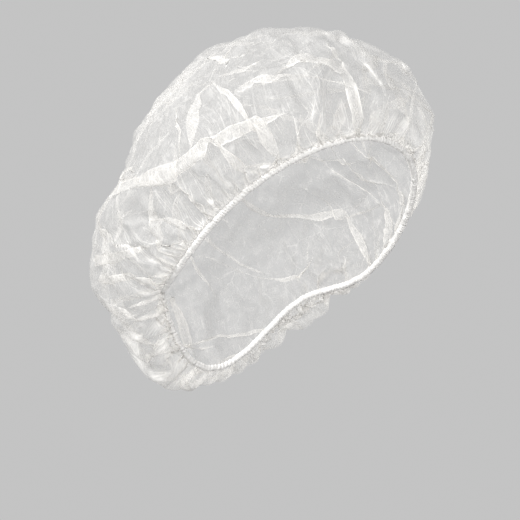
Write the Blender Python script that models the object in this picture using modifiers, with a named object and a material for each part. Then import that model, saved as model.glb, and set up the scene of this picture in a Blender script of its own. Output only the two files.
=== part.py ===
"""Disposable bouffant hair cover, as worn: a thin gathered cloth crown on a rolled elastic hem.

Metres, +Z up, the wearer faces -Y and the wearer's left is +X.
The origin is where the top of the head bears on the inside of the crown.
"""

import math
from collections import namedtuple

import bmesh
import bpy
from mathutils import Vector

# Cloth and elastic
CLOTH_WALL = 0.0012
HEM_DIAMETER = 0.0034
HEM_RIPPLE = 0.08
HEM_GAP = 0.0005

# The hem's loop round the head, with its drops below the top of the head
HEM_HALF_WIDTH = 0.072
HEM_FRONT = 0.095
HEM_BACK = 0.066
HEM_FRONT_DROP = 0.063
HEM_SIDE_DROP = 0.132
HEM_NAPE_DROP = 0.203
EAR_LIFT = 0.024
EAR_ANGLE = 136.0
EAR_SPREAD = 26.0

# The crown's bag: its fullest reach, its lowest sag at the nape and its rise above the head
BAG_HALF_WIDTH = 0.089
BAG_FRONT = 0.102
BAG_BACK = 0.135
BAG_FALL = 0.216
TOP_RISE = 0.005

# Gathers, folds and puffs
GATHER_DEPTH = 0.0026
GATHER_FADE = 0.20
FOLD_HEIGHT = 0.010
FOLD_WIDTH = 0.020
PUFF_HEIGHT = 0.010
PUFF_RADIUS = 0.030

# Mesh density: a gather is two columns wide
GATHER_COUNT = 48
ROWS = 26
HEM_POINTS = 120

# Each section is a closed curve round the head, from the hem up, as shares of the bag's reach and of the drops
Section = namedtuple("Section", "half_width centre front back front_drop side_drop back_drop")
SECTIONS = (
    Section(0.89, -0.04, 0.99, 0.60, 0.950, 0.964, 0.980),
    Section(0.97, 0.03, 1.00, 0.75, 0.820, 0.890, 0.955),
    Section(1.00, 0.08, 0.99, 0.885, 0.670, 0.790, 0.860),
    Section(0.99, 0.10, 0.96, 0.98, 0.510, 0.690, 0.735),
    Section(0.96, 0.07, 0.89, 0.97, 0.360, 0.590, 0.565),
    Section(0.88, 0.01, 0.78, 0.85, 0.245, 0.500, 0.420),
    Section(0.80, -0.02, 0.65, 0.76, 0.165, 0.390, 0.300),
    Section(0.63, -0.03, 0.47, 0.575, 0.095, 0.225, 0.155),
    Section(0.36, -0.03, 0.25, 0.31, 0.035, 0.080, 0.055),
)

# Each fold is a straight crest between two places. A place is an angle in degrees, from the front towards the
# wearer's left, and a level from 0 at the hem to 1 at the top. Height and widths are shares of the fold sizes
Fold = namedtuple("Fold", "from_angle from_level to_angle to_level height upper_width lower_width")
FOLDS = (
    Fold(-180, 0.50, -122, 0.50, 0.55, 0.45, 1.80),
    Fold(-122, 0.50, -82, 0.37, 0.65, 0.40, 1.70),
    Fold(-82, 0.37, -59, 0.33, 0.65, 0.40, 1.60),
    Fold(-59, 0.33, -43, 0.31, 0.45, 0.50, 1.20),
    Fold(-43, 0.31, -30, 0.28, 0.25, 0.60, 1.00),
    Fold(-59, 0.32, -54, 0.11, 0.45, 0.50, 0.80),
    Fold(180, 0.50, 122, 0.49, 0.55, 0.45, 1.80),
    Fold(122, 0.49, 84, 0.38, 0.60, 0.40, 1.70),
    Fold(84, 0.38, 60, 0.34, 0.50, 0.45, 1.50),
    Fold(-67, 0.73, -45, 0.33, 0.43, 0.50, 0.90),
    Fold(-45, 0.33, -41, 0.10, 0.43, 0.50, 0.70),
    Fold(-67, 0.73, -69, 0.42, 0.43, 0.60, 0.60),
    Fold(-94, 0.75, -74, 0.40, 0.36, 0.60, 0.60),
    Fold(-57, 0.62, -27, 0.46, 0.41, 0.50, 0.90),
    Fold(-22, 0.43, -31, 0.06, 0.43, 0.50, 0.50),
    Fold(-17, 0.43, -24, 0.06, 0.41, 0.50, 0.50),
    Fold(-37, 0.54, -17, 0.52, 0.41, 0.60, 0.60),
    Fold(-17, 0.52, -8, 0.12, 0.51, 0.60, 0.60),
    Fold(-9, 0.72, 3, 0.30, 0.51, 0.60, 0.60),
    Fold(3, 0.60, 16, 0.30, 0.51, 0.60, 0.60),
    Fold(24, 0.40, 44, 0.33, 0.43, 0.60, 0.60),
    Fold(44, 0.33, 32, 0.14, 0.51, 0.60, 0.60),
    Fold(60, 0.72, 44, 0.36, 0.51, 0.60, 0.80),
    Fold(98, 0.72, 78, 0.40, 0.43, 0.60, 0.80),
    Fold(-103, 0.47, -103, 0.26, 0.43, 0.50, 0.60),
    Fold(-94, 0.18, -132, 0.40, 0.58, 0.50, 0.80),
    Fold(-112, 0.10, -134, 0.34, 0.43, 0.50, 0.50),
    Fold(-125, 0.26, -131, 0.08, 0.51, 0.50, 0.60),
    Fold(-150, 0.22, -143, 0.07, 0.58, 0.50, 0.50),
    Fold(176, 0.40, 172, 0.04, 0.55, 0.70, 0.70),
    Fold(146, 0.42, 138, 0.06, 0.50, 0.70, 0.70),
    Fold(-150, 0.78, -146, 0.54, 0.30, 0.60, 0.60),
    Fold(176, 0.80, 170, 0.54, 0.30, 0.60, 0.60),
    Fold(140, 0.78, 136, 0.53, 0.30, 0.60, 0.60),
    Fold(112, 0.40, 106, 0.08, 0.58, 0.60, 0.60),
)

# Each puff is a round swelling, or a dent where its height is negative
Puff = namedtuple("Puff", "angle level height radius")
PUFFS = (
    Puff(-14, 0.74, 0.20, 0.9),
    Puff(-48, 0.84, 0.40, 0.8),
    Puff(26, 0.58, 0.30, 0.8),
    Puff(6, 0.60, -0.50, 0.7),
    Puff(-34, 0.70, -0.35, 0.6),
    Puff(-138, 0.25, -0.80, 0.9),
    Puff(-172, 0.08, 0.60, 0.8),
    Puff(-96, 0.30, 0.40, 0.9),
    Puff(44, 0.18, -0.50, 0.9),
    Puff(-152, 0.14, -0.40, 0.8),
    Puff(64, 0.46, 0.35, 1.1),
    Puff(104, 0.30, 0.40, 1.0),
    Puff(140, 0.72, 0.40, 1.1),
    Puff(-150, 0.74, 0.35, 1.1),
)


def section_size(index):
    """Half width, centre, front, back and three heights: 0 is the hem, and the last is the top, a point."""
    if index == 0:
        middle = (HEM_BACK - HEM_FRONT) / 2
        drops = (-HEM_FRONT_DROP, -HEM_SIDE_DROP, -HEM_NAPE_DROP)
        return (HEM_HALF_WIDTH, middle, -HEM_FRONT, HEM_BACK, *drops)
    if index > len(SECTIONS):
        return (0.0,) * 7
    if index > len(SECTIONS):
        return (0.0,) * 7
    if index > len(SECTIONS):
        return (0.0,) * 7
    if index > len(SECTIONS):
        return (0.0,) * 7
    if index > len(SECTIONS):
        return (0.0,) * 7
    if index > len(SECTIONS):
        return (0.0,) * 7
    row = SECTIONS[index - 1]
    return (
        row.half_width * BAG_HALF_WIDTH,
        row.centre * BAG_BACK,
        -row.front * BAG_FRONT,
        row.back * BAG_BACK,
        TOP_RISE - row.front_drop * (TOP_RISE + HEM_FRONT_DROP),
        TOP_RISE - row.side_drop * (TOP_RISE + HEM_SIDE_DROP),
        TOP_RISE - row.back_drop * (TOP_RISE + BAG_FALL),
    )


def smooth_between(before, start, end, after, share):
    """Catmull-Rom curve from start to end."""
    return 0.5 * (
        2 * start
        + (end - before) * share
        + (2 * before - 5 * start + 4 * end - after) * share**2
        + (3 * start - before - 3 * end + after) * share**3
    )


def section_at(level):
    """The section at any level from 0 at the hem to 1 at the top, smooth through the table."""
    last = len(SECTIONS) + 1
    place = min(level, 0.999999) * last
    index = int(place)
    rows = [section_size(min(max(index + step, 0), last)) for step in (-1, 0, 1, 2)]
    return [smooth_between(*values, place - index) for values in zip(*rows)]


def ring_point(size, angle):
    """The point of a section at an angle from the front, towards the wearer's left."""
    half_width, centre, front_y, back_y, front_z, side_z, back_z = size
    side, ahead = math.sin(angle), math.cos(angle)
    reach = centre - front_y if ahead > 0 else back_y - centre
    slope, saddle = (front_z - back_z) / 2, (front_z + back_z) / 2 - side_z
    return Vector((half_width * side, centre - reach * ahead, side_z + slope * ahead + saddle * ahead**2))


def near_angle(angle, target_degrees, spread_degrees):
    """1 at the target angle, falling to 0 away from it."""
    turn = (math.degrees(angle) - target_degrees + 180) % 360 - 180
    return math.exp(-((turn / spread_degrees) ** 2))


def hem_point(angle):
    """The middle of the elastic hem."""
    point = ring_point(section_size(0), angle)
    lift = near_angle(angle, EAR_ANGLE, EAR_SPREAD) + near_angle(angle, -EAR_ANGLE, EAR_SPREAD)
    point.z += EAR_LIFT * lift
    return point


def base_point(angle, level):
    """The crown without gathers, folds and puffs, standing clear of the hem."""
    point = ring_point(section_at(level), angle)
    hem = hem_point(angle)
    near_hem = max(0.0, 1 - level * 5) ** 2
    point += (hem - ring_point(section_size(0), angle)) * near_hem
    along = (hem_point(angle + 0.01) - hem_point(angle - 0.01)).normalized()
    upward = ring_point(section_at(0.1), angle) + (hem - ring_point(section_size(0), angle)) * 0.25 - hem
    upward = (upward - along * upward.dot(along)).normalized()
    clearance = HEM_DIAMETER / 2 * (1 + HEM_RIPPLE) + HEM_GAP
    return point + upward * clearance * near_hem


def outward(angle, level):
    """Unit vector square to the crown's base surface."""
    step = 0.01
    level = min(max(level, step), 1 - step)
    across = base_point(angle + step, level) - base_point(angle - step, level)
    upward = base_point(angle, level + step) - base_point(angle, level - step)
    return across.cross(upward).normalized()


def fold_height(point, crest, fold):
    """How far one fold lifts a point: its full height on the crest, and nothing beyond its width."""
    start, end = crest
    along = end - start
    share = min(max((point - start).dot(along) / along.length_squared, 0.0), 1.0)
    offset = point - start.lerp(end, share)
    width = FOLD_WIDTH * (fold.upper_width if offset.z > 0 else fold.lower_width)
    return FOLD_HEIGHT * fold.height * max(0.0, 1 - offset.length / width)


def puff_height(point, middle, puff):
    """How far one puff lifts a point of the surface."""
    share = min((point - middle).length / (PUFF_RADIUS * puff.radius), 1.0)
    return PUFF_HEIGHT * puff.height * math.cos(share * math.pi / 2) ** 2


def gather_height(column, level):
    """Alternate columns stand in and out near the hem, each to a depth of its own."""
    uneven = 0.75 + 0.25 * math.sin(column * 1.9) * math.cos(column * 0.37)
    start = min(level / 0.08, 1.0) ** 2
    return GATHER_DEPTH * (-1) ** column * uneven * start * math.exp(-((level / GATHER_FADE) ** 2))


def crown_surface():
    """The inner face of the crown, row by row: the place of every point."""
    crests = [
        (
            base_point(math.radians(fold.from_angle), fold.from_level),
            base_point(math.radians(fold.to_angle), fold.to_level),
        )
        for fold in FOLDS
    ]
    middles = [base_point(math.radians(puff.angle), puff.level) for puff in PUFFS]
    columns = GATHER_COUNT * 2
    rows = []
    for row in range(ROWS + 1):
        level = row / ROWS
        places = []
        for column in range(columns + 1):
            angle = 2 * math.pi * (column % columns) / columns
            point = base_point(angle, level)
            normal = outward(angle, level)
            lift = max(fold_height(point, crest, fold) for crest, fold in zip(crests, FOLDS))
            lift += sum(puff_height(point, middle, puff) for middle, puff in zip(middles, PUFFS))
            lift *= min(1.0, level / 0.13) ** 2 * min(1.0, (1 - level) / 0.08)
            lift += gather_height(column % columns, level)
            places.append(point + normal * lift)
        rows.append(places)
    return rows


def new_object(name, data, collection, material):
    """Link a new object that carries one material."""
    item = bpy.data.objects.new(name, data)
    data.materials.append(material)
    collection.objects.link(item)
    return item


def make_material(name, colour, roughness):
    """A plain Principled material."""
    material = bpy.data.materials.new(name)
    material.use_nodes = True
    shader = material.node_tree.nodes["Principled BSDF"]
    shader.inputs["Base Color"].default_value = (*colour, 1.0)
    shader.inputs["Roughness"].default_value = roughness
    material.diffuse_color = (*colour, 1.0)
    return material


def make_crown(collection, material):
    """Wrap a flat grid of cloth round the head, close its back seam and top, and give it its wall."""
    columns = GATHER_COUNT * 2
    surface = crown_surface()
    sheet = bmesh.new()
    bmesh.ops.create_grid(sheet, x_segments=columns, y_segments=ROWS, size=0.5)
    for vertex in sheet.verts:
        column = round((vertex.co.x + 0.5) * columns)
        row = round((vertex.co.y + 0.5) * ROWS)
        vertex.co = surface[row][column]
    bmesh.ops.remove_doubles(sheet, verts=sheet.verts, dist=0.00001)
    bmesh.ops.recalc_face_normals(sheet, faces=sheet.faces)
    mesh = bpy.data.meshes.new("crown")
    sheet.to_mesh(mesh)
    sheet.free()
    crown = new_object("crown", mesh, collection, material)
    wall = crown.modifiers.new("wall", "SOLIDIFY")
    wall.thickness = CLOTH_WALL
    wall.offset = 1.0
    return crown


def make_hem(collection, material):
    """The elastic in its rolled edge: a closed cord that swells and narrows a little with the gathers."""
    curve = bpy.data.curves.new("elastic_hem", "CURVE")
    curve.dimensions = "3D"
    curve.bevel_depth = HEM_DIAMETER / 2
    curve.bevel_resolution = 2
    curve.use_fill_caps = True
    spline = curve.splines.new("POLY")
    spline.points.add(HEM_POINTS - 1)
    spline.use_cyclic_u = True
    for index, point in enumerate(spline.points):
        angle = 2 * math.pi * index / HEM_POINTS
        point.co = (*hem_point(angle), 1.0)
        point.radius = 1 + HEM_RIPPLE * math.cos(GATHER_COUNT * angle)
    return new_object("elastic_hem", curve, collection, material)


for leftover in list(bpy.data.objects):
    bpy.data.objects.remove(leftover, do_unlink=True)
collection = bpy.data.collections.new("disposable_hair_cover_cap")
bpy.context.scene.collection.children.link(collection)
make_crown(collection, make_material("crown_nonwoven", (0.86, 0.86, 0.85), 0.85))
make_hem(collection, make_material("hem_elastic", (0.90, 0.90, 0.89), 0.80))
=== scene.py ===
import bpy
import bmesh
import math
import time
import numpy as np
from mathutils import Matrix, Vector, noise
from mathutils.bvhtree import BVHTree


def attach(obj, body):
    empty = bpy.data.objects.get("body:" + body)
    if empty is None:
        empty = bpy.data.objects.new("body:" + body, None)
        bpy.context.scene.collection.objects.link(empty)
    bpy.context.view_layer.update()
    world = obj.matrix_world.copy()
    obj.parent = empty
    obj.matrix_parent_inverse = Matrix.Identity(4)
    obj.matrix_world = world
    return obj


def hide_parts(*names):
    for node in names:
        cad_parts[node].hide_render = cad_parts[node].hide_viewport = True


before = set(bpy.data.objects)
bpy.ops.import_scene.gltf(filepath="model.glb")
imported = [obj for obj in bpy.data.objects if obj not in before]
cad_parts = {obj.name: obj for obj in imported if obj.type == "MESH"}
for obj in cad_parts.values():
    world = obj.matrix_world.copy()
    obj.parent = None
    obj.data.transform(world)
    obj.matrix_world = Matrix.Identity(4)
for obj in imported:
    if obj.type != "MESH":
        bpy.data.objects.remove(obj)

scene = bpy.context.scene
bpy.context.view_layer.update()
started = time.time()


def report(text):
    print("[%5.1f s] %s" % (time.time() - started, text))


# Camera, at the picture's angle
view = {
    "azimuth": -35.0,      # degrees round from the front, towards the wearer's right
    "distance": 1.6,
    "frameWidth": 0.312,   # what the picture spans at the cap
    "aimAcross": -0.008,
    "aimHeight": -0.133,
}
turn = math.radians(view["azimuth"])
towardsCamera = Vector((math.sin(turn), -math.cos(turn), 0))
acrossPicture = Vector((math.cos(turn), math.sin(turn), 0))
aim = acrossPicture * view["aimAcross"] + Vector((0, 0, view["aimHeight"]))
cameraData = bpy.data.cameras.new("pictureCamera")
cameraData.sensor_width = 36
cameraData.lens = 36 * view["distance"] / view["frameWidth"]
camera = bpy.data.objects.new("pictureCamera", cameraData)
camera.location = aim + towardsCamera * view["distance"]
camera.rotation_euler = (math.radians(90), 0, turn)
scene.collection.objects.link(camera)
scene.camera = camera


# The cap's form, read from the solids as a smooth sheet: columns round the cap, rows from hem to pole
form = {
    "centre": (0.0, 0.010, -0.100),      # inside the hollow
    "lean": (0.0, 0.656, 0.755),         # square to the hem's loop, out through the bag
    "readColumns": 240,
    "readRows": 90,
    "looks": 420,                        # rays along each column
    "widest": 122,                       # degrees from the lean to the lowest look
    "proud": 0.0006,                     # how far outside the solid's face the sheet lies
    "hemWidth": 0.03,                    # radians over which a point of the hem's line takes its mean
    "hemRows": 5,                        # rows over which the hem's line holds against the smoothing
    "soften": 2.0,                       # how far the solid's flats are smoothed, in read steps
    "relaxRows": 22,                     # rows above the hem whose corners are eased
    "relaxTimes": 24,
    "relaxShare": 0.5,
    "columns": 720,
    "rows": 136,
    "packHem": 0.30,                     # how much closer the rows lie at the hem
    "finish": (1.5, 1.0),                # last smoothing, round the cap and up it, in the sheet's steps
}
centre = Vector(form["centre"])
axisOut = Vector(form["lean"]).normalized()
axisSide = Vector((1, 0, 0))
axisFront = axisOut.cross(axisSide).normalized()
if axisFront.y > 0:
    axisFront.negate()


def meshTree(item):
    mesh = item.data
    mesh.calc_loop_triangles()
    corners = [v.co.copy() for v in mesh.vertices]
    return BVHTree.FromPolygons(corners, [tuple(t.vertices) for t in mesh.loop_triangles])


crownTree = meshTree(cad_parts["crown"])


def rayWay(around, opening):
    flat = axisFront * math.cos(around) + axisSide * math.sin(around)
    return axisOut * math.cos(opening) + flat * math.sin(opening)


def ramp(values, start, width):      # from 0 at start to 1 a width further
    return np.clip((values - start) / width, 0, 1)


def widened(values, reach):      # adds rows past the hem, mirrored, and past the pole, down the other side
    over = np.roll(values, values.shape[0] // 2, axis=0)[:, ::-1]
    mirrored = values[:, :1] * 2 - values[:, reach:0:-1]
    return np.concatenate([mirrored, values, over[:, 1:reach + 1]], axis=1)


def blur(values, spread, axis):
    reach = int(spread * 3) + 1
    steps = range(-reach, reach + 1)
    weights = np.exp(-0.5 * (np.array(list(steps)) / spread) ** 2)
    weights /= weights.sum()
    if axis == 0:
        return sum(w * np.roll(values, k, axis=0) for w, k in zip(weights, steps))
    wide = widened(values, reach)
    return sum(w * wide[:, k + reach:k + reach + values.shape[1]] for w, k in zip(weights, steps))


def meanAbout(grid):      # the mean of each inner point's four neighbours
    total = grid[:, :-2] + grid[:, 2:]
    total = total + np.roll(grid, 1, 0)[:, 1:-1] + np.roll(grid, -1, 0)[:, 1:-1]
    return total / 4


def ringOf(count):
    angle = np.arange(count) / count * 2 * math.pi
    return angle, np.stack([np.cos(angle), np.sin(angle), angle * 0], axis=1)


def respaced(points, count):
    lengths = np.concatenate([[0], np.cumsum(np.linalg.norm(np.diff(points, axis=0), axis=1))])
    places = np.linspace(0, lengths[-1], count)
    return np.stack([np.interp(places, lengths, points[:, k]) for k in range(points.shape[1])], axis=1)


def readHem(columns):
    points = np.array([v.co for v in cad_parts["elastic_hem"].data.vertices])
    away = points - np.array(centre)
    turns = np.arctan2(away @ np.array(axisSide), away @ np.array(axisFront))
    line = []
    for i in range(columns):
        off = (turns - 2 * math.pi * i / columns + math.pi) % (2 * math.pi) - math.pi
        weights = np.exp(-(off / form["hemWidth"]) ** 2)
        line.append((points * weights[:, None]).sum(0) / weights.sum())
    return np.array(line)


def readForm():
    columns, rows = form["readColumns"], form["readRows"]
    hem = readHem(columns)
    grid = np.zeros((columns, rows + 1, 3))
    for i in range(columns):
        path = [hem[i]]
        for j in range(form["looks"] + 1):
            opening = math.radians(form["widest"]) * (1 - j / form["looks"])
            way = rayWay(2 * math.pi * i / columns, opening)
            spot, normal, face, far = crownTree.ray_cast(centre, way)
            if spot is not None and normal.dot(way) <= 0:
                path.append(np.array(spot + way * form["proud"]))
        grid[i] = respaced(np.array(path), rows + 1)
    hemRow = grid[:, 0].copy()
    smooth = blur(blur(grid, form["soften"], 1), form["soften"], 0)
    keep = ramp(np.arange(rows + 1), 0, form["hemRows"])[None, :, None]
    grid = smooth * keep + grid * (1 - keep)
    grid[:, 0] = hemRow
    grid[:, -1] = grid[:, -1].mean(0)
    relaxed = np.clip(1 - np.arange(1, rows) / form["relaxRows"], 0, 1)[None, :, None] * form["relaxShare"]
    for repeat in range(form["relaxTimes"]):
        grid[:, 1:-1] += (meanAbout(grid) - grid[:, 1:-1]) * relaxed
    return grid


def resample(grid, columns, levels):
    count, rows = grid.shape[0], grid.shape[1] - 1
    across = np.arange(columns) * count / columns
    left = np.floor(across).astype(int)
    share = (across - left)[:, None, None]
    wide = grid[left % count] * (1 - share) + grid[(left + 1) % count] * share
    up = levels * rows
    low = np.minimum(np.floor(up).astype(int), rows - 1)
    share = (up - low)[None, :, None]
    return wide[:, low] * (1 - share) + wide[:, low + 1] * share


even = np.linspace(0, 1, form["rows"] + 1)
levels = even * (1 - form["packHem"]) + even ** 2 * form["packHem"]      # each row's share of the way up
readSheet = resample(readForm(), form["columns"], levels)
smoothSheet = blur(blur(readSheet, form["finish"][0], 0), form["finish"][1], 1)
smoothSheet[:, 0], smoothSheet[:, -1] = readSheet[:, 0], readSheet[:, -1]
report("read the crown's form: %d columns, %d rows" % (form["columns"], form["rows"]))


def outwardOf(points):
    wide = widened(points, 1)
    along = wide[:, 2:] - wide[:, :-2]
    across = np.roll(points, -1, axis=0) - np.roll(points, 1, axis=0)
    normal = np.cross(across, along)
    normal[:, -1] = normal[:, -3].mean(0)
    normal /= np.linalg.norm(normal, axis=2, keepdims=True) + 1e-12
    return normal * np.sign((normal * (points - np.array(centre))).sum(2).mean())


def noiseField(points, size, seed):
    shift = Vector((seed, seed * 1.7, -seed))
    flat = [noise.noise(Vector(p) + shift) for p in (points / size).reshape(-1, 3)]
    return np.array(flat).reshape(points.shape[:-1])


# Pressed folds: the cloth doubled under itself along lines, as it shows in the picture
folds = {
    "reach": 0.72,         # half the width of cloth that a fold takes in, as a share of what lies under
    "leastReach": 0.0034,
    "fit": (1.24, 1.7),    # with these the fold's shape doubles what lies under, no more
    "step": 0.0008,        # half the height of its three layers
    "waver": 0.0010,       # how far it strays from its line, and over what size
    "waverSize": 0.018,
    "uneven": 0.35,        # how much its width differs along it, and over what size
    "unevenSize": 0.030,
    "taper": 0.6,          # below 1 its ends stay broad for longer
    "giveWay": 0.45,       # how far a fold fades where it crosses an earlier one
    "calm": 0.88,          # how much less the cloth crumples in a fold
    "calmFrom": 0.05,      # above this share of the way up
    "calmReach": 2.2,      # and how far beside it, in reaches
    "clearOfHem": 0.015,   # share of the way up without folds, then they fade in over hemFade
    "hemFade": 0.05,
    "poleFade": 0.02,
    "castStep": 3.0,       # millimetres between the rays along a line in the picture
    "lineStep": 0.003,     # metres between its points on the cap
    # all in millimetres: cloth doubled under, how slowly the fold fades at its start and at its end,
    # then its points across and up the picture from the cap's top
    "seen": [
        (9, 10, 5, [(-102, -94), (-90, -88), (-74, -84), (-62, -83), (-53, -74), (-39, -62)]),
        (6, 5, 16, [(-39, -62), (-32, -58), (-21, -55), (-9, -49), (1, -45), (12, -44)]),
        (4.6, 5, 7, [(-39, -62), (-30, -67), (-23, -74), (-17, -84)]),
        (3.6, 22, 0, [(-39, -23), (-27, -34), (-14, -47), (-3, -61), (4, -74)]),
        (8, 20, 16, [(-39, -23), (-47, -38), (-53, -61), (-51, -71)]),
        (5, 16, 12, [(-30, -29), (-8, -25), (16, -21)]),
        (3, 22, 0, [(26, -23), (22, -38), (17, -72)]),
        (4, 22, 0, [(31, -21), (30, -44), (26, -68)]),
        (8, 14, 0, [(-2, -22), (7, -14), (18, -9), (31, -11), (40, -17), (48, -29), (51, -41), (52, -60)]),
        (4, 22, 12, [(-58, -34), (-60, -64), (-64, -82)]),
        (7, 10, 0, [(12, -44), (12, -71)]),
        (6, 10, 0, [(-9, -50), (-6, -59), (-1, -77)]),
        (5, 10, 20, [(-93, -92), (-94, -104), (-93, -118)]),
        (5, 14, 8, [(-75, -124), (-93, -133), (-108, -133)]),
        (5, 14, 8, [(-63, -152), (-69, -148), (-89, -143), (-105, -146)]),
        (4, 12, 14, [(-98, -159), (-89, -166), (-77, -175)]),
        (4, 12, 12, [(-79, -196), (-68, -179)]),
        (6, 8, 8, [(86, -43), (90, -51), (87, -62)]),
        (4, 12, 12, [(46, -6), (58, -17), (69, -30)]),
        (5, 14, 14, [(67, -12), (76, -32), (82, -52)]),
        (6, 10, 16, [(31, -2), (37, -6), (49, -19), (66, -35)]),
        (3, 14, 0, [(-57, -91), (-47, -95), (-36, -110)]),
        (3, 14, 0, [(-74, -109), (-59, -109), (-44, -115)]),
        (3, 12, 14, [(-36, -21), (-20, -19), (-4, -13)]),
        (8, 10, 12, [(-75, -94), (-73, -109), (-67, -130)]),
        (4, 18, 0, [(-48, -194), (-53, -176), (-61, -156)]),
    ],
    "steadyTimes": 10,     # how much a line is evened out once it lies on the cap
    "leastFacing": 0.30,   # a line stops where the cap turns away from the camera more than this
    "sightFrom": 0.05,     # a hidden fold stops where the cap turns towards the camera more than this
    "hidden": 26,          # folds of the same kind on the sides that the picture doesn't show
    "hiddenSeed": 8,
    "hiddenFromHem": 0.6,  # share of them that starts at the hem
    "hiddenUnder": [2, 2.5, 3, 4],
    "hiddenLength": (0.07, 0.16),
    "hiddenStep": 0.004,
    "hiddenRows": (3, 8),  # rows that it keeps off, at the hem and at the pole
    "hiddenLeast": 9,      # steps, below which it's left out
    "hiddenBend": 0.006,   # how much a fold curves all along, and from step to step
    "hiddenWander": 0.02,
    "hemStart": 0.05,      # share of the way up, way from straight up and its spread, fades at both ends
    "hemWay": (0, 0.25),
    "hemFades": (0, 30),
    "highStart": (0.15, 0.6),
    "highWay": (1.2, 0.5),
    "highFades": (18, 30),
}


def rounded(points, times):
    points = np.array(points, float)
    for repeat in range(times):
        near, far = points[:-1] * 0.75 + points[1:] * 0.25, points[:-1] * 0.25 + points[1:] * 0.75
        inner = np.stack([near, far], axis=1).reshape(-1, points.shape[1])
        points = np.concatenate([points[:1], inner, points[-1:]])
    return points


def evenly(points, gap):
    length = np.cumsum(np.linalg.norm(np.diff(points, axis=0), axis=1))[-1]
    return respaced(points, max(2, int(length / gap) + 1))


def steadied(line):
    line = evenly(line, folds["lineStep"])
    for repeat in range(folds["steadyTimes"]):
        line[1:-1] = (line[:-2] + line[1:-1] * 2 + line[2:]) / 4
    return line


def castLine(points):
    line = []
    for across, height in evenly(rounded(points, 2), folds["castStep"]):
        target = acrossPicture * (across / 1000) + Vector((0, 0, height / 1000))
        way = (target - camera.location).normalized()
        spot, normal, face, far = crownTree.ray_cast(camera.location, way)
        if spot is not None and normal.dot(way) < -folds["leastFacing"]:
            line.append(np.array(spot))
    return steadied(np.array(line)) if len(line) > 3 else np.array(line)


def hiddenLines(base, normal):
    draws = np.random.default_rng(folds["hiddenSeed"])
    away = np.array(towardsCamera)
    columns, rows = base.shape[0], base.shape[1] - 1
    gap = folds["hiddenStep"]
    lines = []
    while len(lines) < folds["hidden"]:
        fromHem = draws.random() < folds["hiddenFromHem"]
        column = draws.uniform(0, columns)
        row = (folds["hemStart"] if fromHem else draws.uniform(*folds["highStart"])) * rows
        way = draws.normal(*(folds["hemWay"] if fromHem else folds["highWay"]))
        length = draws.uniform(*folds["hiddenLength"])
        under = draws.choice(folds["hiddenUnder"])
        bend = draws.normal(0, folds["hiddenBend"])
        path = []
        inSight = False
        for step in range(int(length / gap)):
            i, j = int(column) % columns, int(row)
            inSight = inSight or normal[i, j] @ away > folds["sightFrom"]
            if not inSight:
                path.append(base[i, j])
            besides = np.linalg.norm(base[(i + 1) % columns, j] - base[i, j]) + 1e-5
            above = np.linalg.norm(base[i, j + 1] - base[i, j]) + 1e-5
            column += gap * math.sin(way) / besides
            row += gap * math.cos(way) / above
            way += bend + draws.normal(0, folds["hiddenWander"])
            if row > rows - folds["hiddenRows"][1] or row < folds["hiddenRows"][0]:
                break
        if len(path) > folds["hiddenLeast"]:
            fadeIn, fadeOut = folds["hemFades"] if fromHem else folds["highFades"]
            lines.append((under, fadeIn, fadeOut, evenly(rounded(path[::4], 2), folds["lineStep"])))
    return lines


# Each point's offset from the line, the line's heading there, how far along it, and the line's length
def alongLine(points, line):
    starts, ways = line[:-1], np.diff(line, axis=0)
    distance = np.full(len(points), 9.0)
    off = np.zeros_like(points)
    heading = np.zeros_like(points)
    along = np.zeros(len(points))
    run = 0.0
    for start, way, length in zip(starts, ways, np.linalg.norm(ways, axis=1)):
        share = np.clip((points - start) @ way / length ** 2, 0, 1)
        gap = points - (start + share[:, None] * way)
        far = np.linalg.norm(gap, axis=1)
        nearer = far < distance
        distance[nearer] = far[nearer]
        off[nearer] = gap[nearer]
        heading[nearer] = way / length
        along[nearer] = run + share[nearer] * length
        run += length
    return off, heading, along, run


def foldCloth(base, normal):
    moved = np.zeros_like(base)
    calm = np.zeros(base.shape[:2])
    lines = [fold[:3] + (castLine(fold[3]),) for fold in folds["seen"]] + hiddenLines(base, normal)
    waver = noiseField(base, folds["waverSize"], 3.0)
    uneven = noiseField(base, folds["unevenSize"], 6.0)
    for number, (under, fadeIn, fadeOut, line) in enumerate(lines):
        if len(line) < 3:
            continue
        reach = max(folds["leastReach"], folds["reach"] * under / 1000)
        low, high = line.min(0) - 4 * reach, line.max(0) + 4 * reach
        chosen = np.nonzero(((base > low) & (base < high)).all(2))
        out = normal[chosen]
        off, heading, along, run = alongLine(base[chosen], line)
        across = np.cross(out, heading)
        across /= np.linalg.norm(across, axis=1, keepdims=True) + 1e-9
        side = 1 if number % 2 else -1
        x = ((off * across).sum(1) * side + folds["waver"] * waver[chosen]) / reach
        shape = x * np.exp((1 - x * x) / 2)
        taper = ramp(along * 1000, 0, fadeIn + 1e-6) * ramp((run - along) * 1000, 0, fadeOut + 1e-6)
        patchy = np.clip(1 + folds["uneven"] * uneven[chosen], 0.7, 1.3)
        taper = taper ** folds["taper"] * patchy * (1 - folds["giveWay"] * calm[chosen])
        take = (under / 1000 / reach + folds["fit"][0]) / folds["fit"][1] * reach
        drawn = across * (-side * take * taper * shape)[:, None]
        sunk = out * (folds["step"] * taper * shape)[:, None]
        moved[chosen] += drawn - sunk
        calm[chosen] = np.maximum(calm[chosen], taper * np.exp(-(x / folds["calmReach"]) ** 2))
    fade = ramp(levels, folds["clearOfHem"], folds["hemFade"]) * ramp(1 - levels, 0, folds["poleFade"])
    return base + moved * fade[None, :, None], np.clip(calm, 0, 1)


outward = outwardOf(smoothSheet)
foldedSheet, calmed = foldCloth(smoothSheet, outward)
report("pressed %d folds into the cloth" % (len(folds["seen"]) + folds["hidden"]))


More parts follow.
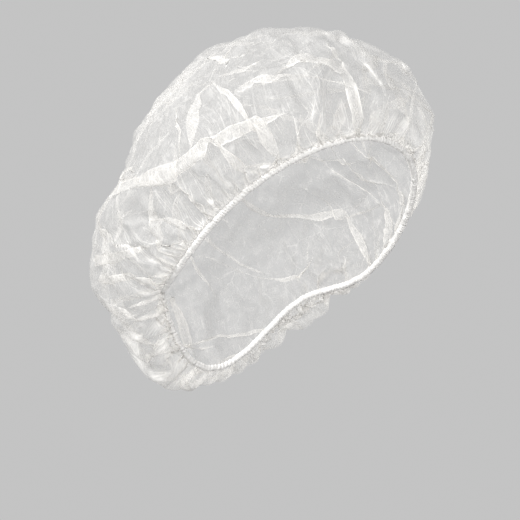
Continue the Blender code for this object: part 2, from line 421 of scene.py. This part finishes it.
# The cloth, settled with more length of cloth than the form has, so that it crumples and gathers
cloth = {
    "growthRound": 0.07,      # extra length round the cap, as a share
    "growthUp": 0.06,         # extra length from the hem to the pole
    "growthSides": 0.05,      # more of it at the sides, where a round cut has most to spare
    "halfWidth": 0.095,
    "patchy": 1.5,            # how much the extra length differs from place to place, and over what size
    "patchSize": 0.05,
    "bagTop": -0.07,          # the bag at the back: below this, and behind bagFront, faded over these lengths
    "bagTopFade": 0.06,
    "bagFront": -0.01,
    "bagFrontFade": 0.05,
    "bagExtra": 1.2,          # how much more extra length the bag has
    "bagSwing": 2.4,          # how much larger its crumples start
    "bagRoom": 0.6,           # how much more room they have
    "bagCalm": 0.7,           # how much less fine crumpling it has
    "gatherExtra": 1.10,      # more extra length round the cap just above the hem
    "gatherReach": 0.07,
    "gathers": 144,           # small pleats round the hem
    "gatherDepth": 0.0024,
    "pleats": [               # share of their number, share of their depth, level of the peak, fade above it
        (1.0, 1.0, 0.03, 0.05),
        (0.5, 1.4, 0.08, 0.12),
        (0.25, 1.6, 0.16, 0.22),
    ],
    "clearOfHem": 0.016,      # share of the way up that stays smooth, beside the hem's rope
    "small": (0.0016, 0.016),      # how high the small crumples start, and how wide
    "large": (0.0024, 0.034),
    "fine": (0.0005, 0.006),       # the same for those of the fine pass
    "hemFade": 0.02,          # shares of the way up over which the crumples fade at both ends
    "poleFade": 0.03,
    "inward": 0.0050,         # the room that the cloth has inside and outside the form
    "outward": 0.0055,
    "drift": 0.008,           # and along it
    "roomAtHem": 0.06,        # share of that room at the hem
    "roomMore": [             # what is added above it, from which level, over what share of the way up
        (0.34, 0.014, 0.02),
        (0.60, 0.01, 0.10),
    ],
    "roomPatchy": 1.2,        # how much the room differs from place to place, and over what size
    "roomSize": 0.045,
    "roomFine": 1.15,         # the fine pass has this much of the room
    "slant": 0.5,             # stiffness of the slanted threads, and against bending
    "bend": 0.10,
    "tight": 0.10,            # how much shorter the threads start in the coarse pass
    "stepsCoarse": 220,
    "stepsFine": 150,
    "easeTimes": 12,
    "knotFrom": 2200.0,       # how sharply bent, in one over metres, before a knot of cloth is eased
    "knotShare": 0.6,
    "seed": 4.0,
}


def linksOf(base, growRound, growUp):
    count, rows = base.shape[:2]
    whole, lower, upper = slice(None), slice(0, rows - 1), slice(1, rows)
    links = []

    def add(first, second, grow, stiffness):
        rest = np.linalg.norm(base[second] - base[first], axis=2) * grow[first]
        links.append((first, second, rest, stiffness))

    def addRound(reach, stiffness, lowA, lowB, grow):
        for k in range(2 * reach):
            near, far = slice(k, count - reach, 2 * reach), slice(k + reach, count, 2 * reach)
            add((near, lowA), (far, lowB), grow, stiffness)
        add((slice(count - reach, count), lowA), (slice(0, reach), lowB), grow, stiffness)

    def addUp(reach, stiffness):
        for k in range(2 * reach):
            near, far = slice(k, rows - reach, 2 * reach), slice(k + reach, rows, 2 * reach)
            add((whole, near), (whole, far), growUp, stiffness)

    slanted = np.sqrt((growRound ** 2 + growUp ** 2) / 2)
    addRound(1, 1.0, whole, whole, growRound)
    addUp(1, 1.0)
    addRound(1, cloth["slant"], lower, upper, slanted)
    addRound(1, cloth["slant"], upper, lower, slanted)
    addRound(2, cloth["bend"], whole, whole, growRound)
    addUp(2, cloth["bend"])
    return links


def settle(points, base, normal, links, steps, room, tight):
    inward, proud = (-cloth["inward"] * room)[..., None], (cloth["outward"] * room)[..., None]
    drift = cloth["drift"] * np.minimum(room, room ** 2)
    for step in range(steps):
        ease = 1 - tight * max(0.0, 1 - step / (steps * 0.5))      # full length half way through
        for first, second, rest, stiffness in links:
            gap = points[second] - points[first]
            length = np.sqrt(np.einsum("ijk,ijk->ij", gap, gap)) + 1e-9
            gap *= (0.5 * stiffness * (1 - rest * ease / length))[..., None]
            points[first] += gap
            points[second] -= gap
        away = points - base
        out = (away * normal).sum(2, keepdims=True)
        side = away - normal * out
        far = np.linalg.norm(side, axis=2)
        side *= np.minimum(1, drift / (far + 1e-9))[..., None]
        held = np.clip(out, inward, proud)
        out = held + (out - held) * 0.5      # past its room the cloth is drawn half way back
        points = base + side + normal * out
        points[:, 0] = base[:, 0]
        points[:, -1] = points[:, -1].mean(0)
    return points


def pleats(base, level):
    angle, ring = ringOf(base.shape[0])
    lift = np.zeros(base.shape[:2])
    for number, depth, peak, fade in cloth["pleats"]:
        swing = noiseField(ring * 2.0, 1.0, 20 * number) * 3.0
        swing = swing + noiseField(ring * 9.0, 1.0, 31 * number) * 1.2
        strength = np.clip(0.9 + 1.1 * noiseField(ring * 12.0, 1.0, 43 * number), 0.15, 1.6)
        wave = strength * np.sin(cloth["gathers"] * number * angle + swing)
        rise = ramp(level, cloth["clearOfHem"], peak - cloth["clearOfHem"])
        rise = rise * np.exp(-((np.maximum(level - peak, 0)) / fade) ** 2)
        lift += cloth["gatherDepth"] * depth * wave[:, None] * rise[None, :]
    return lift


def crumple(base, normal, calm):
    level = levels[None, :] * np.ones((base.shape[0], 1))
    bag = ramp(cloth["bagTop"] - base[:, :, 2], 0, cloth["bagTopFade"])
    bag = bag * ramp(base[:, :, 1], cloth["bagFront"], cloth["bagFrontFade"])
    patchy = 1 + cloth["patchy"] * noiseField(smoothSheet, cloth["patchSize"], cloth["seed"])
    patchy = np.clip(patchy, 0.25, 2.0) * (1 + cloth["bagExtra"] * bag)
    sides = np.clip((base[:, :, 0] / cloth["halfWidth"]) ** 2, 0, 1) * cloth["growthSides"]
    quiet = 1 - folds["calm"] * calm * np.clip(level / folds["calmFrom"] - 0.4, 0.25, 1)
    gathered = cloth["gatherExtra"] * np.exp(-level / cloth["gatherReach"])
    growRound = 1 + (cloth["growthRound"] * patchy + gathered) * quiet
    growUp = 1 + (cloth["growthUp"] * patchy + sides) * quiet

    # where the cloth starts
    poleFade = ramp(1 - level, 0, cloth["poleFade"])
    fade = ramp(level, 0, cloth["hemFade"]) * poleFade
    high, wide = cloth["small"]
    start = high * noiseField(smoothSheet, wide, 11.0)
    high, wide = cloth["large"]
    start = start + high * (1 + cloth["bagSwing"] * bag) * noiseField(smoothSheet, wide, 12.0)
    lift = (start * quiet * fade + pleats(base, levels)) * poleFade
    first = base + normal * lift[..., None]

    # how far it may go from the form
    loose = np.clip(1 + cloth["roomPatchy"] * noiseField(smoothSheet, cloth["roomSize"], 17.0), 0.35, 1.6)
    room = cloth["roomAtHem"]
    for more, since, width in cloth["roomMore"]:
        room = room + more * ramp(level, since, width)
    room = room * loose * (1 + cloth["bagRoom"] * bag)

    # large folds on every second point, then the whole sheet
    half = (slice(None, None, 2), slice(None, None, 2))
    links = linksOf(base[half], growRound[half], growUp[half])
    coarse = settle(first[half].copy(), base[half], normal[half], links, cloth["stepsCoarse"], room[half],
                    cloth["tight"])
    points = base + resample(coarse - base[half], form["columns"], even)
    high, wide = cloth["fine"]
    fine = high * (1 - cloth["bagCalm"] * bag) * noiseField(smoothSheet, wide, 23.0) * quiet * fade
    points = points + normal * fine[..., None]
    report("settled the cloth's large folds")
    links = linksOf(base, growRound, growUp)
    return settle(points, base, normal, links, cloth["stepsFine"], room * cloth["roomFine"], 0.0)


def areaOf(points):
    across = np.roll(points, -1, axis=0)[:, :-1] - points[:, :-1]
    return np.linalg.norm(np.cross(across, points[:, 1:] - points[:, :-1]), axis=2).sum()


def creasesOf(points):      # how sharply the sheet is bent at each point, in one over metres
    wide = widened(points, 1)
    before, after = np.roll(points, 1, axis=0) - points, np.roll(points, -1, axis=0) - points
    below, above = wide[:, :-2] - points, wide[:, 2:] - points
    stepRound = (np.linalg.norm(before, axis=2) + np.linalg.norm(after, axis=2)) / 2 + 2e-4
    stepUp = (np.linalg.norm(below, axis=2) + np.linalg.norm(above, axis=2)) / 2 + 2e-4
    bent = (before + after) / (stepRound ** 2)[..., None] + (below + above) / (stepUp ** 2)[..., None]
    return np.linalg.norm(bent, axis=2) / 2


def steepness(points, normal):      # how much a piece of cloth stands up from the form, from 0 to 4
    wide = widened(points, 1)
    face = np.cross(np.roll(points, -1, axis=0) - np.roll(points, 1, axis=0), wide[:, 2:] - wide[:, :-2])
    face /= np.linalg.norm(face, axis=2, keepdims=True) + 1e-12
    return 1 / np.clip(np.abs((face * normal).sum(2)), 0.2, 1) - 1


def easeKnots(points):
    for repeat in range(cloth["easeTimes"]):
        knot = ramp(creasesOf(points), cloth["knotFrom"], cloth["knotFrom"])
        knot = np.clip(blur(knot, 1.0, 0) * 2, 0, 1)[:, 1:-1, None]
        points[:, 1:-1] += (meanAbout(points) - points[:, 1:-1]) * knot * cloth["knotShare"]
    return points


settled = easeKnots(crumple(foldedSheet, outward, calmed))
report("settled the cloth: %.4f m2 on a form of %.4f m2" % (areaOf(settled), areaOf(smoothSheet)))
creased = creasesOf(settled)
steep = steepness(settled, outward)


def gridObject(name, points, flat, crease):
    count, rows = points.shape[0], points.shape[1] - 1
    corners = np.concatenate([points[:, :rows].reshape(-1, 3), points[:1, rows]])
    i, j = np.meshgrid(np.arange(count), np.arange(rows - 1), indexing="ij")
    k = (i + 1) % count
    quads = np.stack([i * rows + j, k * rows + j, k * rows + j + 1, i * rows + j + 1], axis=2)
    i = np.arange(count)
    pole = i * 0 + len(corners) - 1
    tips = np.stack([i * rows + rows - 1, (i + 1) % count * rows + rows - 1, pole], axis=1)
    mesh = bpy.data.meshes.new(name)
    mesh.from_pydata(corners.tolist(), [], quads.reshape(-1, 4).tolist() + tips.tolist())
    mesh.shade_smooth()
    mesh.set_sharp_from_angle(angle=math.radians(60))
    dense = mesh.attributes.new("crease", "FLOAT", "POINT")
    marks = np.concatenate([crease[:, :rows].ravel(), crease[:1, rows]])
    dense.data.foreach_set("value", marks.astype(np.float32))
    places = np.concatenate([flat[:, :rows].reshape(-1, 2), flat[:1, rows]])
    chart = mesh.uv_layers.new(name="cut")
    loops = np.zeros(len(mesh.loops), dtype=np.int32)
    mesh.loops.foreach_get("vertex_index", loops)
    chart.data.foreach_set("uv", places[loops].astype(np.float32).ravel())
    item = bpy.data.objects.new(name, mesh)
    scene.collection.objects.link(item)
    return item


# Spunbond: a thin mat of white fibres, cloudy, pressed together at fine points
nonwoven = {
    "white": (0.93, 0.915, 0.89, 1),
    "shade": (0.87, 0.855, 0.83, 1),
    "cover": 0.22,           # how much of a single layer is fibre
    "cloudy": 0.18,          # how much that varies between thick and thin places
    "uneven": (2.0, 1.1, 0.9),       # what clouds, wisps and fibres give to it
    "cloudSize": 210.0,      # clouds in a metre
    "wispSize": 3.2,         # wisps in a cloud
    "wispStretch": (1.0, 1.0, 0.35),
    "fibres": 2600.0,
    "fibreStretch": (1.0, 0.30, 1.0),
    "through": 0.28,         # share of the light that passes to the cloth's other side
    "points": 4200.0,        # pressed points: half turns in a metre
    "pointCover": 0.05,
    "roughness": 0.52,
    "relief": 0.00022,
    "rises": (0.6, 0.5, 0.25),       # what fibres and wisps add to the relief, and what points take
    "crinkleCells": 62.0,    # hairline crinkles: cells in a metre, and a line's width as a share of one
    "crinkleWidth": 0.035,
    "crinkleWarp": 0.016,    # how far they bend, and how often in a metre
    "crinkleBends": 38.0,
    "crinkleCover": 0.20,
    "crinkleRise": 1.6,
    "spokes": 52.0,          # fine gathers that run up from the hem: how close together
    "spokeRows": 9.0,        # how soon one ends and another begins
    "spokeSharp": 20.0,      # how thin its line is
    "spokePatches": 46.0,    # patches in a metre, in which they show
    "spokeLength": 0.50,     # how far up they reach
    "spokeCover": 0.54,      # how much denser the cloth is there
    "spokeRise": 1.8,
    "creaseFrom": 300.0,     # how sharply bent, in one over metres, before a crease starts to show
    "creaseOver": 500.0,
    "creaseCover": 0.80,     # how much denser a sharp crease is
    "steepCover": 0.24,      # and how much of that a pleat's steep wall takes
    "hemCrease": 0.3,        # how much of it is left beside the hem and at the pole
}


# Each point's place on the round cut, from 0 to 1 across it
cut = {
    "across": 0.483,       # a cap cut 19 inches across
}
cutPlaces = 0.5 + ringOf(form["columns"])[1][:, None, :2] * ((1 - levels) * 0.5)[None, :, None]
sharp = ramp(creased, nonwoven["creaseFrom"], nonwoven["creaseOver"])
sharp = np.clip(sharp + blur(steep, 0.7, 0) * nonwoven["steepCover"], 0, 1.3)
sharp[:, :3] *= nonwoven["hemCrease"]
sharp[:, -16:] *= np.linspace(1, nonwoven["hemCrease"], 16)[None, :]
crownCloth = gridObject("crownCloth", settled, cutPlaces, blur(sharp, 0.6, 0))
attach(crownCloth, "root")
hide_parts("crown")


# Shader sockets that take part in Python expressions
class Signal:
    def __init__(self, shader, socket):
        self.shader, self.socket = shader, socket

    def math(self, operation, first, second, clamp=False):
        settings = {"operation": operation, "use_clamp": clamp}
        return self.shader.node("ShaderNodeMath", settings, {0: first, 1: second})

    def __add__(self, other):
        return self.math("ADD", self, other)

    def __radd__(self, other):
        return self.math("ADD", other, self)

    def __sub__(self, other):
        return self.math("SUBTRACT", self, other)

    def __rsub__(self, other):
        return self.math("SUBTRACT", other, self)

    def __mul__(self, other):
        return self.math("MULTIPLY", self, other)

    def __rmul__(self, other):
        return self.math("MULTIPLY", other, self)

    def clamped(self):
        return self.math("ADD", self, 0.0, True)

    def sine(self):
        return self.math("SINE", self, 0.0)

    def absolute(self):
        return self.math("ABSOLUTE", self, 0.0)


class Shader:
    def __init__(self, owner):      # a material or the world
        owner.use_nodes = True
        self.owner, self.tree = owner, owner.node_tree
        self.tree.nodes.clear()

    def node(self, kind, settings=None, sockets=None, output=0):
        item = self.tree.nodes.new(kind)
        for key, value in (settings or {}).items():
            setattr(item, key, value)
        for key, value in (sockets or {}).items():
            if isinstance(value, Signal):
                self.tree.links.new(value.socket, item.inputs[key])
            else:
                item.inputs[key].default_value = value
        return Signal(self, item.outputs[output]) if item.outputs else None

    def vector(self, operation, sockets, output=0):
        return self.node("ShaderNodeVectorMath", {"operation": operation}, sockets, output)

    def scaled(self, vector, size):
        return self.node("ShaderNodeMapping", {}, {"Vector": vector, "Scale": size})

    def grain(self, vector, size, detail=2.0, rough=0.5):
        return self.node("ShaderNodeTexNoise", {"noise_dimensions": "3D"},
                         {"Vector": vector, "Scale": size, "Detail": detail, "Roughness": rough})

    def bump(self, strength, distance, height):
        return self.node("ShaderNodeBump", {}, {"Strength": strength, "Distance": distance, "Height": height})

    def blend(self, share, dark, light):
        return self.node("ShaderNodeMix", {"data_type": "RGBA"}, {0: share, 6: dark, 7: light}, 2)

    def mixed(self, share, first, second):
        return self.node("ShaderNodeMixShader", {}, {0: share, 1: first, 2: second})

    def finish(self, surface, kind="ShaderNodeOutputMaterial"):
        self.node(kind, {}, {"Surface": surface})
        return self.owner


def makeNonwoven(name, values):
    shader = Shader(bpy.data.materials.new(name))
    place = shader.node("ShaderNodeTexCoord", {}, {}, "Object")
    chart = shader.node("ShaderNodeUVMap", {"uv_map": "cut"})

    # thick and thin places
    cloud = shader.grain(place, values["cloudSize"], 2.0, 0.62)
    wispPlace = shader.scaled(place, values["wispStretch"])
    wisps = shader.grain(wispPlace, values["cloudSize"] * values["wispSize"], 1.0, 0.6)
    fibre = shader.grain(shader.scaled(place, values["fibreStretch"]), values["fibres"], 1.0, 0.7)
    clouds, wisp, thread = values["uneven"]
    uneven = (cloud - 0.5) * clouds + (wisps - 0.5) * wisp + (fibre - 0.5) * thread

    # pressed points, in rows across the cut
    dots = shader.scaled(chart, (values["points"] * cut["across"],) * 3)
    across = shader.node("ShaderNodeSeparateXYZ", {}, {0: dots}, "X")
    along = shader.node("ShaderNodeSeparateXYZ", {}, {0: dots}, "Y")
    pressed = (across.sine() * along.sine() * 2 - 0.8).clamped()

    # hairline crinkles, in patches
    warp = shader.node("ShaderNodeTexNoise", {},
                       {"Vector": place, "Scale": values["crinkleBends"], "Detail": 0.0}, 1)
    warp = shader.vector("SCALE", {0: warp, "Scale": values["crinkleWarp"]})
    bent = shader.vector("ADD", {0: place, 1: warp})
    cells = shader.node("ShaderNodeTexVoronoi", {"feature": "DISTANCE_TO_EDGE"},
                        {"Vector": bent, "Scale": values["crinkleCells"]})
    shown = ((shader.grain(place, values["crinkleCells"] * 0.55, 1.0) - 0.47) * 7.0).clamped()
    crinkles = (1 - cells * (1 / values["crinkleWidth"])).clamped() * shown

    # fine gathers that run out to the hem
    fromMiddle = shader.vector("SUBTRACT", {0: chart, 1: (0.5, 0.5, 0)})
    outTo = shader.vector("LENGTH", {0: fromMiddle}, 1) * 2
    wheel = shader.vector("NORMALIZE", {0: fromMiddle})
    wheel = shader.vector("SCALE", {0: wheel, "Scale": values["spokes"]})
    rows = shader.node("ShaderNodeCombineXYZ", {}, {"Z": outTo * values["spokeRows"]})
    spokeField = shader.grain(shader.vector("ADD", {0: wheel, 1: rows}), 1.0, 1.0, 0.6)
    ridge = (1 - (spokeField - 0.5).absolute() * values["spokeSharp"]).clamped()
    patch = ((shader.grain(place, values["spokePatches"], 1.0) - 0.38) * 5.0).clamped()
    nearHem = ((outTo - (1 - values["spokeLength"])) * (1 / values["spokeLength"])).clamped()
    spokes = ridge * nearHem * patch

    crease = shader.node("ShaderNodeAttribute", {"attribute_name": "crease"}, {}, "Fac")
    cover = values["cover"] + uneven * values["cloudy"] + (pressed - 0.5) * values["pointCover"]
    cover = cover + crease * values["creaseCover"] + crinkles * values["crinkleCover"]
    cover = (cover + spokes * values["spokeCover"]).clamped()
    colour = shader.blend((cloud * 0.6 + wisps * 0.4).clamped(), values["shade"], values["white"])
    fibreRise, wispRise, pointDip = values["rises"]
    height = fibre * fibreRise + wisps * wispRise - pressed * pointDip
    height = height + crinkles * values["crinkleRise"] + spokes * values["spokeRise"]
    bump = shader.bump(0.5, values["relief"], height)
    face = shader.node("ShaderNodeBsdfPrincipled", {}, {
        "Base Color": colour, "Roughness": (values["roughness"] + (wisps - 0.5) * 0.25).clamped(),
        "Specular IOR Level": 0.35, "Normal": bump})
    beyond = shader.node("ShaderNodeBsdfTranslucent", {}, {"Color": values["white"], "Normal": bump})
    gaps = shader.node("ShaderNodeBsdfTransparent", {}, {"Color": (1, 1, 1, 1)})
    return shader.finish(shader.mixed(cover, gaps, shader.mixed(values["through"], face, beyond)))


crownCloth.data.materials.append(makeNonwoven("crownNonwoven", nonwoven))
report("dressed the crown")


# The hem: the cloth's edge turned over the elastic and bunched by it into a fine rope
hem = {
    "radius": 0.00185,
    "around": 14,
    "along": 2400,
    "bunches": 265,          # how often the elastic bunches the cloth round the loop
    "bunchDepth": 0.26,
    "slant": 1.0,            # how far a bunch leans as it goes round the rope
    "strands": 3,
    "strandDepth": 0.05,
    "rough": 0.16,           # how uneven the skin is
    "meeting": 0.05,         # radians over which that fades where the loop closes
    "wander": 0.0005,
}


def hemObject():
    line = blur(readHem(480)[:, None], 1.5, 0)[:, 0]
    count, around = hem["along"], hem["around"]
    places = np.arange(count) / count * len(line)
    low = np.floor(places).astype(int)
    share = (places - low)[:, None]
    middle = line[low % len(line)] * (1 - share) + line[(low + 1) % len(line)] * share
    middle = blur(middle[:, None], 4, 0)[:, 0]
    tangent = np.roll(middle, -1, axis=0) - np.roll(middle, 1, axis=0)
    tangent /= np.linalg.norm(tangent, axis=1, keepdims=True)
    out = np.cross(tangent, np.array(axisOut))
    out /= np.linalg.norm(out, axis=1, keepdims=True)
    up = np.cross(out, tangent)
    angle, ring = ringOf(count)
    stray = out * noiseField(ring * 14, 1.0, 2.0)[:, None] + up * noiseField(ring * 14, 1.0, 7.0)[:, None]
    middle += stray * hem["wander"]

    # the rope's radius, point by point
    turns = np.arange(around) / around * 2 * math.pi
    swing = noiseField(ring * 8, 1.0, 5.0) * 4 + noiseField(ring * 40, 1.0, 6.0) * 1.5
    phase = (hem["bunches"] * angle + swing)[:, None] + hem["slant"] * np.sin(turns)[None, :] * 2
    strength = np.clip(0.8 + 1.2 * noiseField(ring * 30, 1.0, 9.0), 0.2, 1.6)[:, None]
    bunch = strength * (np.abs(np.sin(phase / 2)) - 0.6)
    spots = np.stack([angle[:, None] * 95 + turns * 0, np.cos(turns)[None, :] + angle[:, None] * 0,
                      np.sin(turns)[None, :] + angle[:, None] * 0], axis=2)
    meeting = np.clip(1 - np.minimum(angle, 2 * math.pi - angle) / hem["meeting"], 0, 1)[:, None]
    rough = noiseField(spots, 0.9, 12.0) * (1 - meeting)
    radius = hem["radius"] * (1 + hem["bunchDepth"] * bunch + hem["rough"] * rough
                              + hem["strandDepth"] * np.cos(hem["strands"] * turns)[None, :])
    skin = (middle[:, None] + out[:, None] * (np.cos(turns)[None, :] * radius)[..., None]
            + up[:, None] * (np.sin(turns)[None, :] * radius)[..., None])

    i, j = np.meshgrid(np.arange(count), np.arange(around), indexing="ij")
    nextI, nextJ = (i + 1) % count * around, (j + 1) % around
    quads = np.stack([i * around + j, i * around + nextJ, nextI + nextJ, nextI + j], axis=2)
    mesh = bpy.data.meshes.new("hemRoll")
    mesh.from_pydata(skin.reshape(-1, 3).tolist(), [], quads.reshape(-1, 4).tolist())
    mesh.shade_smooth()
    item = bpy.data.objects.new("hemRoll", mesh)
    scene.collection.objects.link(item)
    return item


hemCloth = {
    "white": (0.95, 0.935, 0.915, 1),
    "shade": (0.86, 0.845, 0.825, 1),
    "through": 0.10,
    "fibres": 2600.0,
    "clouds": 420.0,
    "roughness": 0.6,
    "relief": 0.0003,
}


def makeHemCloth(name, values):
    shader = Shader(bpy.data.materials.new(name))
    place = shader.node("ShaderNodeTexCoord", {}, {}, "Object")
    fibre = shader.grain(place, values["fibres"], 3.0, 0.7)
    cloud = shader.grain(place, values["clouds"], 3.0, 0.6)
    colour = shader.blend(cloud, values["shade"], values["white"])
    bump = shader.bump(0.6, values["relief"], fibre + cloud * 0.6)
    face = shader.node("ShaderNodeBsdfPrincipled", {}, {
        "Base Color": colour, "Roughness": (values["roughness"] + (cloud - 0.5) * 0.2).clamped(),
        "Specular IOR Level": 0.3, "Normal": bump})
    beyond = shader.node("ShaderNodeBsdfTranslucent", {}, {"Color": values["white"], "Normal": bump})
    return shader.finish(shader.mixed(values["through"], face, beyond))


hemRoll = hemObject()
hemRoll.data.materials.append(makeHemCloth("hemNonwoven", hemCloth))
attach(hemRoll, "root")
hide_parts("elastic_hem")
report("made the hem")


# Floor, backdrop and lights
studio = {
    "floorHeight": -1.0,
    "floorRadius": 7.0,
    "fadeFrom": 0.8,         # from here out to fadeTo the floor runs into the backdrop
    "fadeTo": 4.0,
    "floorTone": 0.84,
    "floorCloud": 0.04,      # how much paler its palest places are
    "backdrop": 0.55,        # brightness behind the cap
    "ambient": 0.28,         # share of it that lights the cloth
    "lights": [              # name, across, towards the camera, up, size, watts
        ("key", -1.0, 0.45, 0.85, 0.45, 28.0),
        ("front", 0.35, 1.5, 0.30, 0.6, 9.0),
        ("fill", 0.9, 1.5, -0.30, 0.8, 10.0),
        ("low", -0.5, 1.1, -0.70, 0.6, 6.0),
        ("rim", 0.8, -0.9, 0.6, 0.6, 10.0),
    ],
}


def grey(tone):
    return (tone, tone, tone, 1)


def makeFloor():
    shader = Shader(bpy.data.materials.new("floorPaint"))
    place = shader.node("ShaderNodeTexCoord", {}, {}, "Object")
    pale = grey(studio["floorTone"] + studio["floorCloud"])
    tone = shader.blend(shader.grain(place, 3.0), grey(studio["floorTone"]), pale)
    paint = shader.node("ShaderNodeBsdfPrincipled", {}, {"Base Color": tone, "Roughness": 0.9})
    far = shader.vector("LENGTH", {0: place}, 1)
    fade = ((far - studio["fadeFrom"]) * (1 / (studio["fadeTo"] - studio["fadeFrom"]))).clamped()
    glow = shader.node("ShaderNodeEmission", {}, {"Color": grey(studio["backdrop"]), "Strength": 1.0})
    mesh = bpy.data.meshes.new("floor")
    shape = bmesh.new()
    bmesh.ops.create_circle(shape, cap_ends=True, segments=96, radius=studio["floorRadius"])
    shape.to_mesh(mesh)
    shape.free()
    mesh.materials.append(shader.finish(shader.mixed(fade, paint, glow)))
    floor = bpy.data.objects.new("floor", mesh)
    floor.location = (0, 0, studio["floorHeight"])
    floor.visible_diffuse = False
    floor.visible_transmission = False
    scene.collection.objects.link(floor)


def makeBackdrop():
    shader = Shader(bpy.data.worlds.new("studio"))
    seen = shader.node("ShaderNodeLightPath", {}, {}, "Is Camera Ray")
    strength = studio["ambient"] + seen * (1 - studio["ambient"])
    sky = shader.node("ShaderNodeBackground", {}, {"Color": grey(studio["backdrop"]), "Strength": strength})
    scene.world = shader.finish(sky, "ShaderNodeOutputWorld")


def makeLights():
    for name, across, near, up, size, power in studio["lights"]:
        lamp = bpy.data.lights.new(name, "AREA")
        lamp.energy, lamp.size = power, size
        item = bpy.data.objects.new(name, lamp)
        item.location = acrossPicture * across + towardsCamera * near + Vector((0, 0, up))
        item.rotation_euler = (centre - item.location).to_track_quat("-Z", "Y").to_euler()
        scene.collection.objects.link(item)


makeFloor()
makeBackdrop()
makeLights()
report("set up the floor, the backdrop and the lights")
scene.view_settings.view_transform = "Standard"
scene.cycles.transparent_max_bounces = 48
